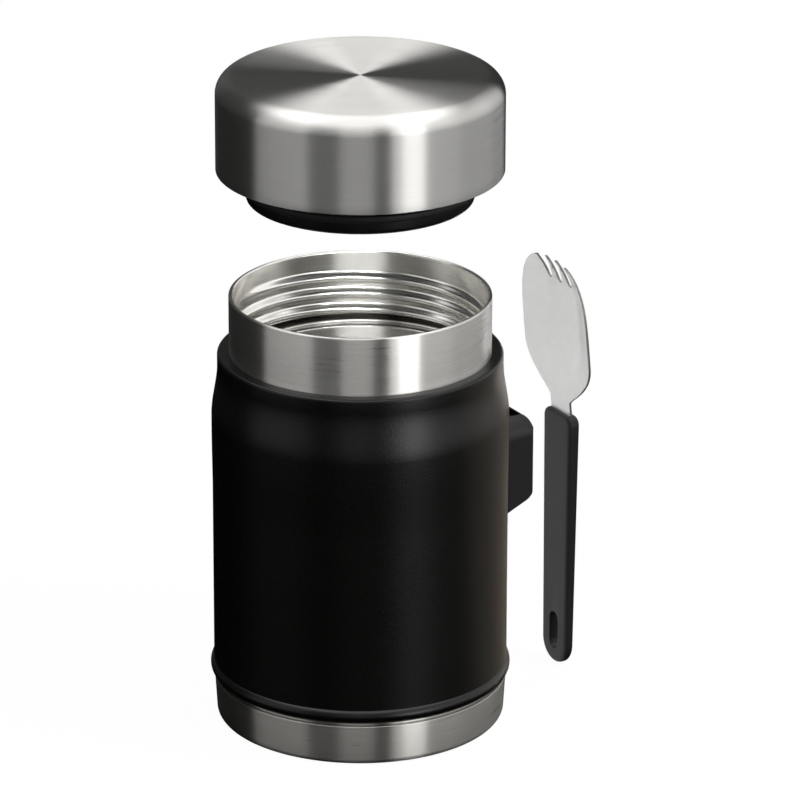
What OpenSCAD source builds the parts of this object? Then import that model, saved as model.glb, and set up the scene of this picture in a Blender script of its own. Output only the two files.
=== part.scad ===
// Insulated food jar: a double-walled steel jar with a screw lid, and a spork with its side sleeve.
// Origin: middle of the underside. +Z is up, the sleeve is on +X and the jar's front is on -Y.
// All sizes are in millimetres and angles in degrees.

/* [Body] */
// Outside diameter of the bare steel neck
neck_d = 82.2; // [72:0.2:100]
// Height of the neck above the lip
neck_h = 18.8; // [15:0.2:26]
// Height of the lip's top above the floor
body_h = 121.6; // [100:0.2:160]
// Width of the flat ring between the neck and the lip's edge
lip_w = 3.7; // [3.2:0.1:6]
// Height of the lip's straight edge
lip_h = 4.6; // [2:0.2:8]
// How far the wall stands out from the lip
flare_w = 1.7; // [1:0.1:6]
// How far the wall swells under the flare
swell = 0.2; // [0:0.1:0.6]
// Height of the flare between the wall and the lip
flare_h = 16.3; // [8:0.1:22]
// Thickness of the coated outer wall
wall_t = 0.8; // [0.5:0.1:1.2]

/* [Base] */
// Height of the bare steel band round the foot
band_h = 13.4; // [9:0.2:18]
// How far the band's top sits in from the wall
band_in = 0.2; // [0.1:0.1:1.2]
// How much the band narrows towards the floor, on the radius
band_taper = 0.8; // [0:0.1:2]
// Radius of the band's bottom edge
band_round = 2.2; // [1.2:0.1:4]
// Radius of the rolled bead's section
bead_round = 2.6; // [2:0.1:3.4]
// How far the bead stands out from the wall
bead_out = 1.1; // [0.5:0.1:1.6]
// Height of the dark groove between the band and the bead
groove_h = 0.8; // [0.4:0.1:1.5]

/* [Inner vessel] */
// Inside diameter of the food chamber
chamber_d = 82.0; // [72:0.5:83]
// Height of the chamber's floor
floor_z = 28; // [27:0.5:40]
// Radius between the chamber's floor and wall
floor_round = 12; // [4:1:20]
// Thickness of the liner and of the neck's outer sheet
liner_t = 0.6; // [0.4:0.1:0.8]
// Depth of the sealing ledge under the rim
ledge_depth = 23.8; // [22:0.2:30]
// Height of the narrow throat under the ledge
throat_h = 5.2; // [4.5:0.1:8]

/* [Thread] */
// Rise of the thread in one turn
pitch = 5.3; // [4.5:0.1:6]
// Turns of the rolled ridge in the neck
neck_turns = 2.5; // [2:0.1:2.6]
// Turns of the ridge on the lid
lid_turns = 1.75; // [1:0.05:2]
// How far each ridge stands up from its wall
thread_rise = 1.6; // [1.2:0.1:1.8]

/* [Lid] */
// Height of the steel cap
cap_h = 30.2; // [25:0.2:36]
// Radius of the cap's top edge
cap_round = 5.8; // [2:0.1:8]
// Thickness of the cap's steel
cap_t = 0.7; // [0.5:0.1:1]
// Diameter of the plug's lower end
plug_d = 71; // [60:0.5:72]
// How far the plug reaches below the cap
plug_out = 9.7; // [8:0.1:14]
// Height at which the lid is held above its closed place
lid_lift = 59.4; // [0:0.1:90]

/* [Spork and sleeve] */
// Width of the spork's handle at its top
handle_w = 16; // [12:0.5:20]
// Width of the handle near its end
handle_end_w = 14.5; // [10:0.5:20]
// Thickness of the handle at its top
handle_t = 4.2; // [4:0.1:6]
// Thickness of the handle at its end
handle_end_t = 3.2; // [2.5:0.1:5]
// Length of the handle
handle_len = 86.7; // [70:0.1:95]
// Length of the bowl and tines
head_len = 53; // [42:0.1:60]
// Width of the bowl
head_w = 38.6; // [30:0.2:44]
// Depth of the bowl
head_deep = 5.4; // [2:0.1:8]
// Height of the sleeve
sleeve_h = 32; // [22:0.5:36]
// Height of the sleeve's underside where it meets the jar
sleeve_z = 61; // [40:0.5:66]
// Width of the sleeve's two side walls
sleeve_side = 3.8; // [3:0.1:5]
// Distance from the handle's stored place to where it is held beside the sleeve
spork_out = 22.4; // [12:0.1:40]

/* [Hidden] */
$fn = 96;

// Clearances
weld_gap = 0.05;      // between round sheets that are pressed or welded together
seat_gap = 0.4;       // under the closed cap, over the lip
rim_gap = 1.0;        // over the rim, inside the closed lid
seal_gap = 0.1;       // each side of the gasket
fit_gap = 0.2;        // round the foam, the tang and the bracket
slot_gap = 0.6;       // each side of the handle in the sleeve
plug_gap = 0.5;       // between the plug and the throat
thread_gap = 0.5;     // between a crest and the wall that it faces

// Jar
neck_r = neck_d / 2;
lip_r = neck_r + lip_w;
body_r = lip_r + flare_w;
rim_z = body_h + neck_h;
lip_edge = 1.0;
wall_in_r = body_r - wall_t;
mount_r = body_r + swell + weld_gap;    // what is fixed to the wall's side sits at this radius
flare_top = body_h - lip_h;
flare_low = flare_top - flare_h;

// Foot
band_r = body_r - band_in;
foot_r = band_r - band_taper;
bead_z = band_h + groove_h + bead_round;
bead_x = body_r + bead_out - bead_round;
joggle_r = bead_x - weld_gap;
joggle_top = bead_z + 1.2;
press_ring_r = foot_r - 11;
press_ring_w = 3;
press_ring_h = 0.5;

// Vacuum bottom, under the liner
vac_z = joggle_top + 3.2;
vac_flange = 3;
dimple_r = 8;
dimple_h = 2;
seal_hole_r = 1.2;
seal_cap_r = 3;
seal_cap_h = 0.9;
getter_r = 4.5;
getter_h = 1.4;
getter_x = 20;
foil_t = 0.2;
foil_gap = 0.3;

// Liner
neck_in_r = neck_r - 2 * liner_t - weld_gap;
plug_r = plug_d / 2;
throat_r = plug_r + plug_gap;
chamber_r = chamber_d / 2;
ledge_z = rim_z - ledge_depth;
ledge_round = 0.4;
throat_z = ledge_z - throat_h;
chamber_top = throat_z - 9;
rim_round = liner_t - 0.05;

// Threads: the ridges are as wide at the crest and at the wall as they are high, more or less
ridge_root_w = 2.6;
ridge_crest_w = 1.0;
ridge_sink = 0.35;      // how deep the ridge's foot lies in the wall
neck_thread_z = rim_z - 7.6;
neck_thread_a = 138;

// Lid, closed
cap_z = body_h + seat_gap;
cap_r = lip_r;
cap_in_r = cap_r - cap_t;
cap_in_top = cap_z + cap_h - cap_t;
cap_edge = 0.3;
stop_r = cap_in_r - weld_gap;
stop_t = 1.6;
stop_low = cap_z + 1.4;
stop_high = cap_in_top - cap_round + cap_t;
web_z = rim_z + rim_gap;
web_t = 1.8;
plate_t = 1.8;
plate_top = cap_in_top - 0.5;
plate_r = stop_r - cap_round + 1.0;
stem_r = neck_in_r - thread_rise - thread_gap;
stem_t = 2.2;
plug_t = 2.0;
plug_z = cap_z - plug_out;
plug_edge = 1.5;
gasket_low = ledge_z + seal_gap;
gasket_h = 2.5;
gasket_r = stem_r;      // no wider than the stem, so that it passes the ridges in the neck
gasket_round = 0.5;
shoulder_z = gasket_low + gasket_h + seal_gap;
lid_thread_low = shoulder_z + ridge_root_w / 2 + fit_gap;
lid_thread_z = lid_thread_low + pitch * lid_turns;
lid_thread_a = neck_thread_a + 360 * (lid_thread_z - neck_thread_z + pitch / 2) / pitch;

// Sleeve and spork
slot_t = handle_t + 2 * slot_gap;
slot_w = handle_w + 2 * slot_gap;
sleeve_w = slot_w + 2 * sleeve_side;
sleeve_back = 2.9;
sleeve_front = 1.7;
slot_x = body_r + sleeve_back;
sleeve_x = slot_x + slot_t + sleeve_front;
sleeve_top = sleeve_z + sleeve_h;
sleeve_round = 4;
sleeve_slope = 24.5;
sleeve_root = body_r - 4;
slot_round = 1.4;
bracket_t = 1.0;
bracket_w = 13;
bracket_h = 20;
bracket_z = sleeve_z + 4.5;
screw_r = 1.25;
screw_head_r = 2.3;
screw_head_h = 1.2;
screw_sink = 0.1;
screw_inset = 3.5;
screw_zs = [bracket_z + screw_inset, bracket_z + bracket_h - screw_inset];

handle_x = slot_x + slot_gap + spork_out;
handle_z = 0.3;
handle_top = handle_z + handle_len;
handle_corner = 3;
hang_w = 5.7;
hang_h = 11.8;
hang_z = handle_z + 10;
head_t = 1.0;
tang_w = 10;
tang_t = head_t;
tang_len = 26;
head_x = handle_x + handle_t / 2;
neck_w = 11.4;
neck_len = 4.5;
blend_len = 14;
tip_lean = 5;
head_top = handle_top + head_len;
tine_slots = [-5.8, 0, 5.8];
tine_len = 8;
tine_gap = 2.4;       // width of a tine slot at its root
tine_mouth = 5;       // and at the tips

// Points of an arc round [x, z], from angle a to angle b
function arc(x, z, r, a, b, n = 8) =
    [for (i = [0:n]) let (t = a + (b - a) * i / n) [x + r * cos(t), z + r * sin(t)]];

// Eases from 0 to 1, flat at both ends
function ease(t) = let (c = min(1, max(0, t))) c * c * (3 - 2 * c);

// Points of the soft step from [r0, z0] to [r1, z1]
function soft_step(r0, z0, r1, z1, n = 8) =
    [for (i = [0:n]) [r0 + (r1 - r0) * ease(i / n), z0 + (z1 - z0) * i / n]];

// Outline with round corners, as wide and high as given, centred on the origin
function round_box(w, h, r) = concat(
    arc(w / 2 - r, h / 2 - r, r, 0, 90), arc(r - w / 2, h / 2 - r, r, 90, 180),
    arc(r - w / 2, r - h / 2, r, 180, 270), arc(w / 2 - r, r - h / 2, r, 270, 360));

// Turns an outline drawn as [x, z] into a slab that is w wide along Y
module slab(w) {
    translate([0, w / 2, 0]) rotate([90, 0, 0]) linear_extrude(w) children();
}

// Ridge wound down a right-hand helix from angle a and height z, standing out from radius r.
// A negative rise makes it stand inwards. Its foot lies inside the wall, and both its ends dive
// into the wall, so that the wall's surface always cuts it at an angle.
module ridge(r, rise, z, a, turns) {
    steps = ceil(turns * 36);
    fade = 5;
    sink = rise > 0 ? -ridge_sink : ridge_sink;
    foot_w = ridge_root_w + (ridge_root_w - ridge_crest_w) * ridge_sink / abs(rise);
    section = function (k) let (crest = r + sink * 0.6 * (1 - k) + rise * k) [
        [r + sink, -foot_w / 2], [crest, -ridge_crest_w / 2],
        [crest, ridge_crest_w / 2], [r + sink, foot_w / 2]];
    n = len(section(1));
    points = [for (i = [0:steps]) let (t = turns * i / steps, k = ease(min(i, steps - i) / fade))
        for (p = section(k)) [p.x * cos(a - 360 * t), p.x * sin(a - 360 * t), z - pitch * t + p.y]];
    sides = [for (i = [0:steps - 1], j = [0:n - 1])
        [i * n + j, (i + 1) * n + j, (i + 1) * n + (j + 1) % n, i * n + (j + 1) % n]];
    ends = [[for (j = [0:n - 1]) j], [for (j = [0:n - 1]) steps * n + n - 1 - j]];
    faces = concat(sides, ends);
    flip = rise < 0;
    polyhedron(points, flip ? [for (f = faces) [for (j = [len(f) - 1:-1:0]) f[j]]] : faces, convexity = 6);
}

// Lid pieces are drawn closed, then screwed up the thread by lid_lift
module lid_place() {
    translate([0, 0, lid_lift]) rotate([0, 0, 360 * lid_lift / pitch]) children();
}

// Coated outer wall: curled under the bead, straight, flared in to the lip and turned flat to the neck
module outer_shell() {
    bead_out_a = acos((body_r - bead_x) / bead_round);
    bead_in_a = acos((wall_in_r - bead_x) / (bead_round - wall_t));
    swell_low = flare_low - 26;
    swell_top = flare_low - 5;
    color("#1c1c1c") rotate_extrude() polygon(concat(
        arc(bead_x, bead_z, bead_round, -90, bead_out_a, 12),
        soft_step(body_r, swell_low, body_r + swell, swell_top),
        soft_step(body_r + swell, flare_low, lip_r, flare_top),
        arc(lip_r - lip_edge, body_h - lip_edge, lip_edge, 0, 90, 5),
        [[neck_r + weld_gap, body_h], [neck_r + weld_gap, body_h - wall_t]],
        [[lip_r - wall_t, body_h - wall_t]],
        soft_step(lip_r - wall_t, flare_top, wall_in_r + swell, flare_low),
        soft_step(wall_in_r + swell, swell_top, wall_in_r, swell_low),
        arc(bead_x, bead_z, bead_round - wall_t, bead_in_a, -90, 12)));
}

// Bare outer sheet of the neck, from inside the shell up to the rim
module neck_collar() {
    low = body_h - 4;
    color("#c8c8c4") rotate_extrude() polygon(concat(
        [[neck_r - liner_t, low], [neck_r, low]],
        arc(neck_r - rim_round, rim_z - rim_round, rim_round, 0, 90, 4),
        [[neck_r - liner_t, rim_z]]));
}

// Food vessel: neck with its rolled thread, sealing ledge, throat and chamber
module inner_liner() {
    out = liner_t;
    color("#d0d0cc") {
        rotate_extrude() polygon(concat(
            arc(neck_in_r + rim_round, rim_z - rim_round, rim_round, 180, 90, 4),
            [[neck_in_r + out, rim_z], [neck_in_r + out, ledge_z - out]],
            [[throat_r + out, ledge_z - out]],
            soft_step(throat_r + out, throat_z, chamber_r + out, chamber_top),
            arc(chamber_r - floor_round, floor_z + floor_round, floor_round + out, 0, -90, 10),
            [[0, floor_z - out], [0, floor_z]],
            arc(chamber_r - floor_round, floor_z + floor_round, floor_round, -90, 0, 10),
            soft_step(chamber_r, chamber_top, throat_r, throat_z),
            arc(throat_r + ledge_round, ledge_z - ledge_round, ledge_round, 180, 90, 4),
            [[neck_in_r, ledge_z]]));
        ridge(neck_in_r, -thread_rise, neck_thread_z, neck_thread_a, neck_turns);
    }
}

// Foil round the chamber, which turns back radiated heat
module foil_wrap() {
    low = floor_z + floor_round;
    r = chamber_r + liner_t + foil_gap;
    color("#d9b38c") translate([0, 0, low]) difference() {
        cylinder(r = r + foil_t, h = chamber_top - low);
        translate([0, 0, -1]) cylinder(r = r, h = chamber_top - low + 2);
    }
}

// Pellet on the liner's underside, which keeps the vacuum
module getter_pellet() {
    color("#8a8a8a") translate([getter_x, 0, floor_z - liner_t - getter_h])
        cylinder(r = getter_r, h = getter_h);
}

// Pressed plate that closes the vacuum, with a dimple for the seal
module vacuum_bottom() {
    r = wall_in_r - weld_gap;
    top = vac_z + wall_t;
    color("#b8b8b4") rotate_extrude() polygon([
        [seal_hole_r, vac_z + dimple_h], [dimple_r, vac_z + dimple_h], [dimple_r + dimple_h, vac_z],
        [r - wall_t, vac_z], [r - wall_t, vac_z - vac_flange], [r, vac_z - vac_flange], [r, top],
        [dimple_r + dimple_h, top], [dimple_r, top + dimple_h], [seal_hole_r, top + dimple_h]]);
}

// Solder plug in the evacuation hole
module seal_off_plug() {
    z = vac_z + dimple_h;
    r = seal_hole_r - weld_gap;
    color("#6f7f7a") rotate_extrude() polygon([
        [0, z - seal_cap_h], [seal_cap_r - 1, z - seal_cap_h], [seal_cap_r, z - 0.2], [seal_cap_r, z],
        [r, z], [r, z + wall_t], [0, z + wall_t]]);
}

// Bare steel cup that closes the foot and forms the band
module base_cup() {
    t = wall_t;
    edge = 0.4;
    ring = [[press_ring_r, 0], [press_ring_r + press_ring_h, press_ring_h],
        [press_ring_r + press_ring_w, press_ring_h], [press_ring_r + press_ring_w + press_ring_h, 0]];
    ring_top = [for (i = [len(ring) - 1:-1:0]) ring[i] + [0, t]];
    color("#c0c0bc") rotate_extrude() polygon(concat(
        [[0, 0]], ring,
        arc(foot_r - band_round, band_round, band_round, -90, 0),
        arc(band_r - edge, band_h - edge, edge, 0, 90, 3),
        [[joggle_r, band_h], [joggle_r, joggle_top], [joggle_r - t, joggle_top], [joggle_r - t, band_h - t]],
        [[band_r - t, band_h - t]],
        arc(foot_r - band_round, band_round, band_round - t, 0, -90),
        ring_top, [[0, t]]));
}

// Curved steel plate welded to the wall, which carries the sleeve
module holder_bracket() {
    color("#9a9a98") difference() {
        intersection() {
            difference() {
                cylinder(r = mount_r + bracket_t, h = body_h);
                translate([0, 0, -1]) cylinder(r = mount_r, h = body_h + 2);
            }
            translate([0, -bracket_w / 2, bracket_z]) cube([mount_r * 2, bracket_w, bracket_h]);
        }
        for (z = screw_zs) translate([body_r - 2, 0, z]) rotate([0, 90, 0])
            cylinder(r = screw_r + weld_gap, h = 6);
    }
}

// Moulded sleeve with a slot for the spork's handle
module spork_holder() {
    slope = tan(sleeve_slope);
    low_x = sleeve_x - sleeve_round;
    low_z = sleeve_z + (low_x - body_r) * slope + sleeve_round / cos(sleeve_slope);
    color("#303030") difference() {
        intersection() {
            slab(sleeve_w) polygon(concat(
                [[sleeve_root, sleeve_z - (body_r - sleeve_root) * slope]],
                arc(low_x, low_z, sleeve_round, sleeve_slope - 90, 0),
                arc(low_x, sleeve_top - sleeve_round, sleeve_round, 0, 90),
                [[sleeve_root, sleeve_top]]));
            translate([0, 0, sleeve_top - sleeve_h]) rotate([90, 0, 90]) linear_extrude(sleeve_x + 1)
                polygon(round_box(sleeve_w, sleeve_h * 2, sleeve_round));
        }
        cylinder(r = mount_r, h = body_h);
        translate([slot_x + slot_t / 2, 0, 0]) linear_extrude(body_h)
            polygon(round_box(slot_t, slot_w, slot_round));
        translate([0, -bracket_w / 2 - fit_gap, bracket_z - fit_gap])
            cube([mount_r + bracket_t + fit_gap, bracket_w + 2 * fit_gap, bracket_h + 2 * fit_gap]);
        for (z = screw_zs) translate([slot_x, 0, z]) rotate([0, -90, 0]) {
            translate([0, 0, -1]) cylinder(r = screw_r + fit_gap, h = sleeve_back + 1);
            cylinder(r1 = screw_head_r + fit_gap, r2 = screw_r + fit_gap, h = screw_head_h);
        }
    }
}

// Countersunk screws through the sleeve's back wall into the bracket
module holder_screws() {
    top_x = slot_x - screw_sink;
    color("#8f8f8f") for (z = screw_zs) translate([top_x, 0, z]) rotate([0, -90, 0]) difference() {
        union() {
            cylinder(r = screw_r, h = top_x - mount_r);
            cylinder(r1 = screw_head_r, r2 = screw_r, h = screw_head_h);
        }
        for (a = [0, 90]) rotate([0, 0, a]) translate([-1.4, -0.25, -1]) cube([2.8, 0.5, 1.7]);
    }
}

// Brushed steel cap
module lid_cap() {
    color("#c4c4c0") lid_place() rotate_extrude() polygon(concat(
        [[cap_in_r, cap_z]],
        arc(cap_r - cap_edge, cap_z + cap_edge, cap_edge, -90, 0, 3),
        arc(cap_r - cap_round, cap_z + cap_h - cap_round, cap_round, 0, 90, 10),
        [[0, cap_z + cap_h], [0, cap_in_top]],
        arc(cap_r - cap_round, cap_z + cap_h - cap_round, cap_round - cap_t, 90, 0, 10)));
}

// Moulded stopper: sleeve inside the cap, channel for the neck, threaded stem and plug
module lid_stopper() {
    low_in = plug_r - plug_t;
    color("#161616") lid_place() {
        rotate_extrude() polygon(concat(
            [[0, plug_z]],
            arc(plug_r - plug_edge, plug_z + plug_edge, plug_edge, -90, 0, 5),
            [[plug_r, shoulder_z], [stem_r, shoulder_z], [stem_r, web_z], [stop_r - stop_t, web_z]],
            [[stop_r - stop_t, stop_low], [stop_r, stop_low]],
            [[stop_r, stop_high], [stop_r - stop_t, stop_high]],
            [[stop_r - stop_t, web_z + web_t], [stem_r, web_z + web_t], [stem_r, plate_top - plate_t]],
            [[stem_r - stem_t, plate_top - plate_t], [stem_r - stem_t, shoulder_z + plug_t]],
            [[low_in, shoulder_z + plug_t], [low_in, plug_z + plug_t], [0, plug_z + plug_t]]));
        ridge(stem_r, thread_rise, lid_thread_z, lid_thread_a, lid_turns);
    }
}

// Foam that fills the plug
module lid_foam() {
    low_r = plug_r - plug_t - fit_gap;
    high_r = stem_r - stem_t - fit_gap;
    step_z = shoulder_z + plug_t + fit_gap;
    color("#e8dcc0") lid_place() rotate_extrude() polygon([
        [0, plug_z + plug_t + fit_gap], [low_r, plug_z + plug_t + fit_gap], [low_r, step_z],
        [high_r, step_z], [high_r, plate_top - plate_t - fit_gap], [0, plate_top - plate_t - fit_gap]]);
}

// Plate that closes the stopper over the foam
module lid_inner_plate() {
    color("#242424") lid_place() translate([0, 0, plate_top - plate_t]) cylinder(r = plate_r, h = plate_t);
}

// Silicone ring under the stem's shoulder, which seals on the ledge
module lid_gasket() {
    in_r = plug_r + seal_gap;
    r = gasket_round;
    color("#3a3a3a") lid_place() rotate_extrude() polygon(concat(
        [[in_r, gasket_low]],
        arc(gasket_r - r, gasket_low + r, r, -90, 0, 5),
        arc(gasket_r - r, gasket_low + gasket_h - r, r, 0, 90, 5),
        [[in_r, gasket_low + gasket_h]]));
}

// Half width of the spork's head at a height over the handle
function head_half(h) = h < neck_len + blend_len
    ? neck_w / 2 + (head_w - neck_w) / 2 * ease((h - neck_len) / blend_len)
    : head_w / 2 * pow(1 - pow((h - neck_len - blend_len) / (head_len - neck_len - blend_len), 3.4), 0.4);

// How far out the head's inner face lies: the rim leans in towards the tip and the bowl sinks outwards
function head_face(h, u) = let (t = h / head_len)
    -tip_lean * t
    + head_deep * ease((t - 0.08) / 0.4) * (1 - pow(max(0, t - 0.5) / 0.5, 4)) * (1 - u * u);

// Steel head: a tang in the handle, then one sheet that widens to a shallow bowl with four tines
module spork_head() {
    rows = 34;
    cols = 16;
    last = 0.995;
    heights = [for (i = [0:rows]) head_len * sin(90 * last * i / rows)];
    side = function (back) [for (h = heights, j = [0:cols]) let (u = 2 * j / cols - 1)
        [head_x - head_t / 2 + head_face(h, u) + (back ? head_t : 0), u * head_half(h), handle_top + h]];
    n = cols + 1;
    m = n * (rows + 1);
    inner = [for (i = [0:rows - 1], j = [0:cols - 1]) let (k = i * n + j) [k, k + 1, k + n + 1, k + n]];
    outer = [for (f = inner) [for (j = [3:-1:0]) f[j] + m]];
    edges = concat(
        [for (i = [0:rows - 1], s = [0, cols]) let (k = i * n + s)
            s == 0 ? [k, k + n, k + n + m, k + m] : [k, k + m, k + n + m, k + n]],
        [for (j = [0:cols - 1]) [j, j + m, j + 1 + m, j + 1]],
        [for (j = [0:cols - 1]) let (k = rows * n + j) [k, k + 1, k + 1 + m, k + m]]);
    color("#cfcfcd") {
        difference() {
            polyhedron(concat(side(false), side(true)), concat(inner, outer, edges), convexity = 6);
            for (y = tine_slots) translate([head_x - 20, y, head_top - tine_len]) rotate([90, 0, 90])
                linear_extrude(40) polygon(concat(
                    arc(0, 0, tine_gap / 2, 180, 360),
                    [[tine_mouth / 2, tine_len + 1], [-tine_mouth / 2, tine_len + 1]]));
        }
        translate([head_x - tang_t / 2, -tang_w / 2, handle_top - tang_len])
            cube([tang_t, tang_w, tang_len + 0.5]);
    }
}

// Moulded handle, thinner and narrower towards its round end, with a slot to hang it by
module spork_handle() {
    end_r = handle_end_w / 2;
    color("#323234") difference() {
        intersection() {
            translate([handle_x - 1, 0, 0]) rotate([90, 0, 90]) linear_extrude(handle_t + 2)
                polygon(concat(
                    arc(0, handle_z + end_r, end_r, 180, 360, 16),
                    arc(handle_w / 2 - handle_corner, handle_top - handle_corner, handle_corner, 0, 90),
                    arc(handle_corner - handle_w / 2, handle_top - handle_corner, handle_corner, 90, 180)));
            slab(handle_w + 2) polygon([
                [handle_x, handle_z], [handle_x + handle_end_t, handle_z],
                [handle_x + handle_t, handle_top], [handle_x, handle_top]]);
        }
        translate([handle_x - 1, 0, hang_z]) rotate([90, 0, 90]) linear_extrude(handle_t + 2)
            polygon(round_box(hang_w, hang_h, hang_w / 2 - 0.01));
        translate([head_x - tang_t / 2 - weld_gap, -tang_w / 2 - weld_gap, handle_top - tang_len - weld_gap])
            cube([tang_t + 2 * weld_gap, tang_w + 2 * weld_gap, tang_len + 1]);
    }
}

outer_shell();
neck_collar();
inner_liner();
foil_wrap();
getter_pellet();
vacuum_bottom();
seal_off_plug();
base_cup();
holder_bracket();
spork_holder();
holder_screws();
lid_cap();
lid_stopper();
lid_foam();
lid_inner_plate();
lid_gasket();
spork_head();
spork_handle();
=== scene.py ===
# Insulated food jar with a screw lid, a side sleeve and a spork: its looks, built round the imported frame.
# Shapes are worked out in millimetres and go into the meshes in metres. +Z is up, the sleeve is on +X.
import math

import bmesh
import bpy
import numpy as np
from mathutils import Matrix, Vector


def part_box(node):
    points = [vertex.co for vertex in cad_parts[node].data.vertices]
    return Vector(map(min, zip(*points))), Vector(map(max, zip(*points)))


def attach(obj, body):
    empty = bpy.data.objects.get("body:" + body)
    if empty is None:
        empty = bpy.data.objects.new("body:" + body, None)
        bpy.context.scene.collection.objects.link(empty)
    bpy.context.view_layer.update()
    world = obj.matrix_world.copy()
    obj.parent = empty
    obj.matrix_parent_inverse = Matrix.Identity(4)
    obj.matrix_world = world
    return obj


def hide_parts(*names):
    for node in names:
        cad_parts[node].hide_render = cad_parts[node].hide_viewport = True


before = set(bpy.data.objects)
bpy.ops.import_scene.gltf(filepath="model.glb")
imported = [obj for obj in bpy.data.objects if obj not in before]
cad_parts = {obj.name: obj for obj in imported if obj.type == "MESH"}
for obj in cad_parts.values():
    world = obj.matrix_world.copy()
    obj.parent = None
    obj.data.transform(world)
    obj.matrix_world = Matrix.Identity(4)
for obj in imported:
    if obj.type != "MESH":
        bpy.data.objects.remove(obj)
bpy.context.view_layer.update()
mm = 0.001
onWall = 0.01  # mm, how near a point counts as lying on a wall
scene = bpy.context.scene


# a CAD node's lowest and highest corner in millimetres, to a twentieth
def nodeBox(node):
    return np.round(np.array([list(corner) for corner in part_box(node)]) / mm * 20) / 20


# 3t^2 - 2t^3, held at 0 and 1 outside
def ease(t):
    t = np.clip(t, 0, 1)
    return t * t * (3 - 2 * t)


# centre + radius * (cos t, sin t), with t going from one angle to the other
def arcPoints(x, y, radius, fromAngle, toAngle, steps=12):
    t = np.radians(np.linspace(fromAngle, toAngle, steps + 1))
    return np.c_[x + radius * np.cos(t), y + radius * np.sin(t)]


# straight in z and eased in r, from one point to the other
def softStep(r0, z0, r1, z1, steps=24):
    t = np.linspace(0, 1, steps + 1)
    return np.c_[r0 + (r1 - r0) * ease(t), z0 + (z1 - z0) * t]


# cuts the stretches between neighbouring points into equal steps no longer than gap
def refine(points, gap):
    points = np.asarray(points, float)
    length = np.hypot(*np.diff(points, axis=0).T)
    counts = np.maximum(1, np.ceil(length / gap).astype(int))
    runs = [np.linspace(a, b, n, endpoint=False) for a, b, n in zip(points[:-1], points[1:], counts)]
    return np.vstack(runs + [points[-1:]])


# outline through corners (r, z, radius): one with a radius becomes an arc that touches both its sides
def roundedOutline(corners, steps=6, closed=True):
    points = np.array([corner[:2] for corner in corners], float)
    parts = []
    for i, corner in enumerate(corners):
        radius = corner[2] if len(corner) > 2 else 0
        if radius == 0 or (not closed and i in (0, len(corners) - 1)):
            parts.append(points[i:i + 1])
            continue
        back = points[i - 1] - points[i]
        on = points[(i + 1) % len(points)] - points[i]
        back, on = back / np.hypot(*back), on / np.hypot(*on)
        half = math.acos(float(np.clip(back @ on, -1, 1))) / 2
        centre = points[i] + (back + on) / np.hypot(*(back + on)) * radius / math.sin(half)
        start = points[i] + back * radius / math.tan(half) - centre
        stop = points[i] + on * radius / math.tan(half) - centre
        a, b = math.atan2(start[1], start[0]), math.atan2(stop[1], stop[0])
        b += 2 * math.pi * round((a - b) / (2 * math.pi))
        t = np.linspace(a, b, steps + 1)
        parts.append(centre + radius * np.c_[np.cos(t), np.sin(t)])
    return np.vstack(parts)


# puts points (mm), quads and UVs into a mesh, closes seams and poles, and hangs the piece on its CAD body
def makePiece(name, points, quads, uv, body, node, slot, material, sharp=38):
    mesh = bpy.data.meshes.new(name)
    mesh.vertices.add(len(points))
    mesh.vertices.foreach_set("co", np.ascontiguousarray(points * mm, dtype=np.float32).ravel())
    mesh.loops.add(quads.size)
    mesh.loops.foreach_set("vertex_index", np.ascontiguousarray(quads, dtype=np.int32).ravel())
    mesh.polygons.add(len(quads))
    mesh.polygons.foreach_set("loop_start", np.arange(0, quads.size, 4, dtype=np.int32))
    layer = mesh.uv_layers.new(name="UVMap")
    layer.data.foreach_set("uv", np.ascontiguousarray(uv, dtype=np.float32).ravel())
    mesh.update(calc_edges=True)
    work = bmesh.new()
    work.from_mesh(mesh)
    bmesh.ops.remove_doubles(work, verts=work.verts, dist=1e-6)
    work.to_mesh(mesh)
    work.free()
    mesh.validate()
    mesh.polygons.foreach_set("use_smooth", np.ones(len(mesh.polygons), dtype=bool))
    mesh.set_sharp_from_angle(angle=math.radians(sharp))
    mesh.materials.append(material)
    piece = bpy.data.objects.new(name, mesh)
    scene.collection.objects.link(piece)
    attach(piece, body)
    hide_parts(node)
    return piece


# quads between neighbouring rows and columns of a grid of points. U runs across the columns, and V is the
# length along the rows in metres. The sum of v0 . (v1 x v2) over the faces is positive when they face out.
def gridPiece(name, points, loopRows=True, **rest):
    rows, columns = points.shape[:2]
    i = np.arange(rows if loopRows else rows - 1)[:, None]
    j = np.arange(columns)[None, :]
    iNext, jNext = (i + 1) % rows, (j + 1) % columns
    here, after = i * columns, iNext * columns
    quads = np.stack([here + j, here + jNext, after + jNext, after + j], -1)
    closed = np.concatenate([points, points[:1]])
    along = np.r_[0, np.cumsum(np.linalg.norm(np.diff(closed, axis=0), axis=2).mean(axis=1))] * mm
    u = np.stack([j, j + 1, j + 1, j], -1) / columns + 0 * i[..., None]
    v = np.stack([along[i], along[i], along[i + 1], along[i + 1]], -1) + 0 * j[..., None]
    uv = np.stack([u, v], -1).reshape(-1, 4, 2)
    quads, flat = quads.reshape(-1, 4), points.reshape(-1, 3)
    a, b, c, d = (flat[quads[:, k]] for k in range(4))
    if (a * (np.cross(b, c) + np.cross(c, d))).sum() < 0:
        quads, uv = quads[:, ::-1], uv[:, ::-1]
    return makePiece(name, flat, quads, uv, **rest)


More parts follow.
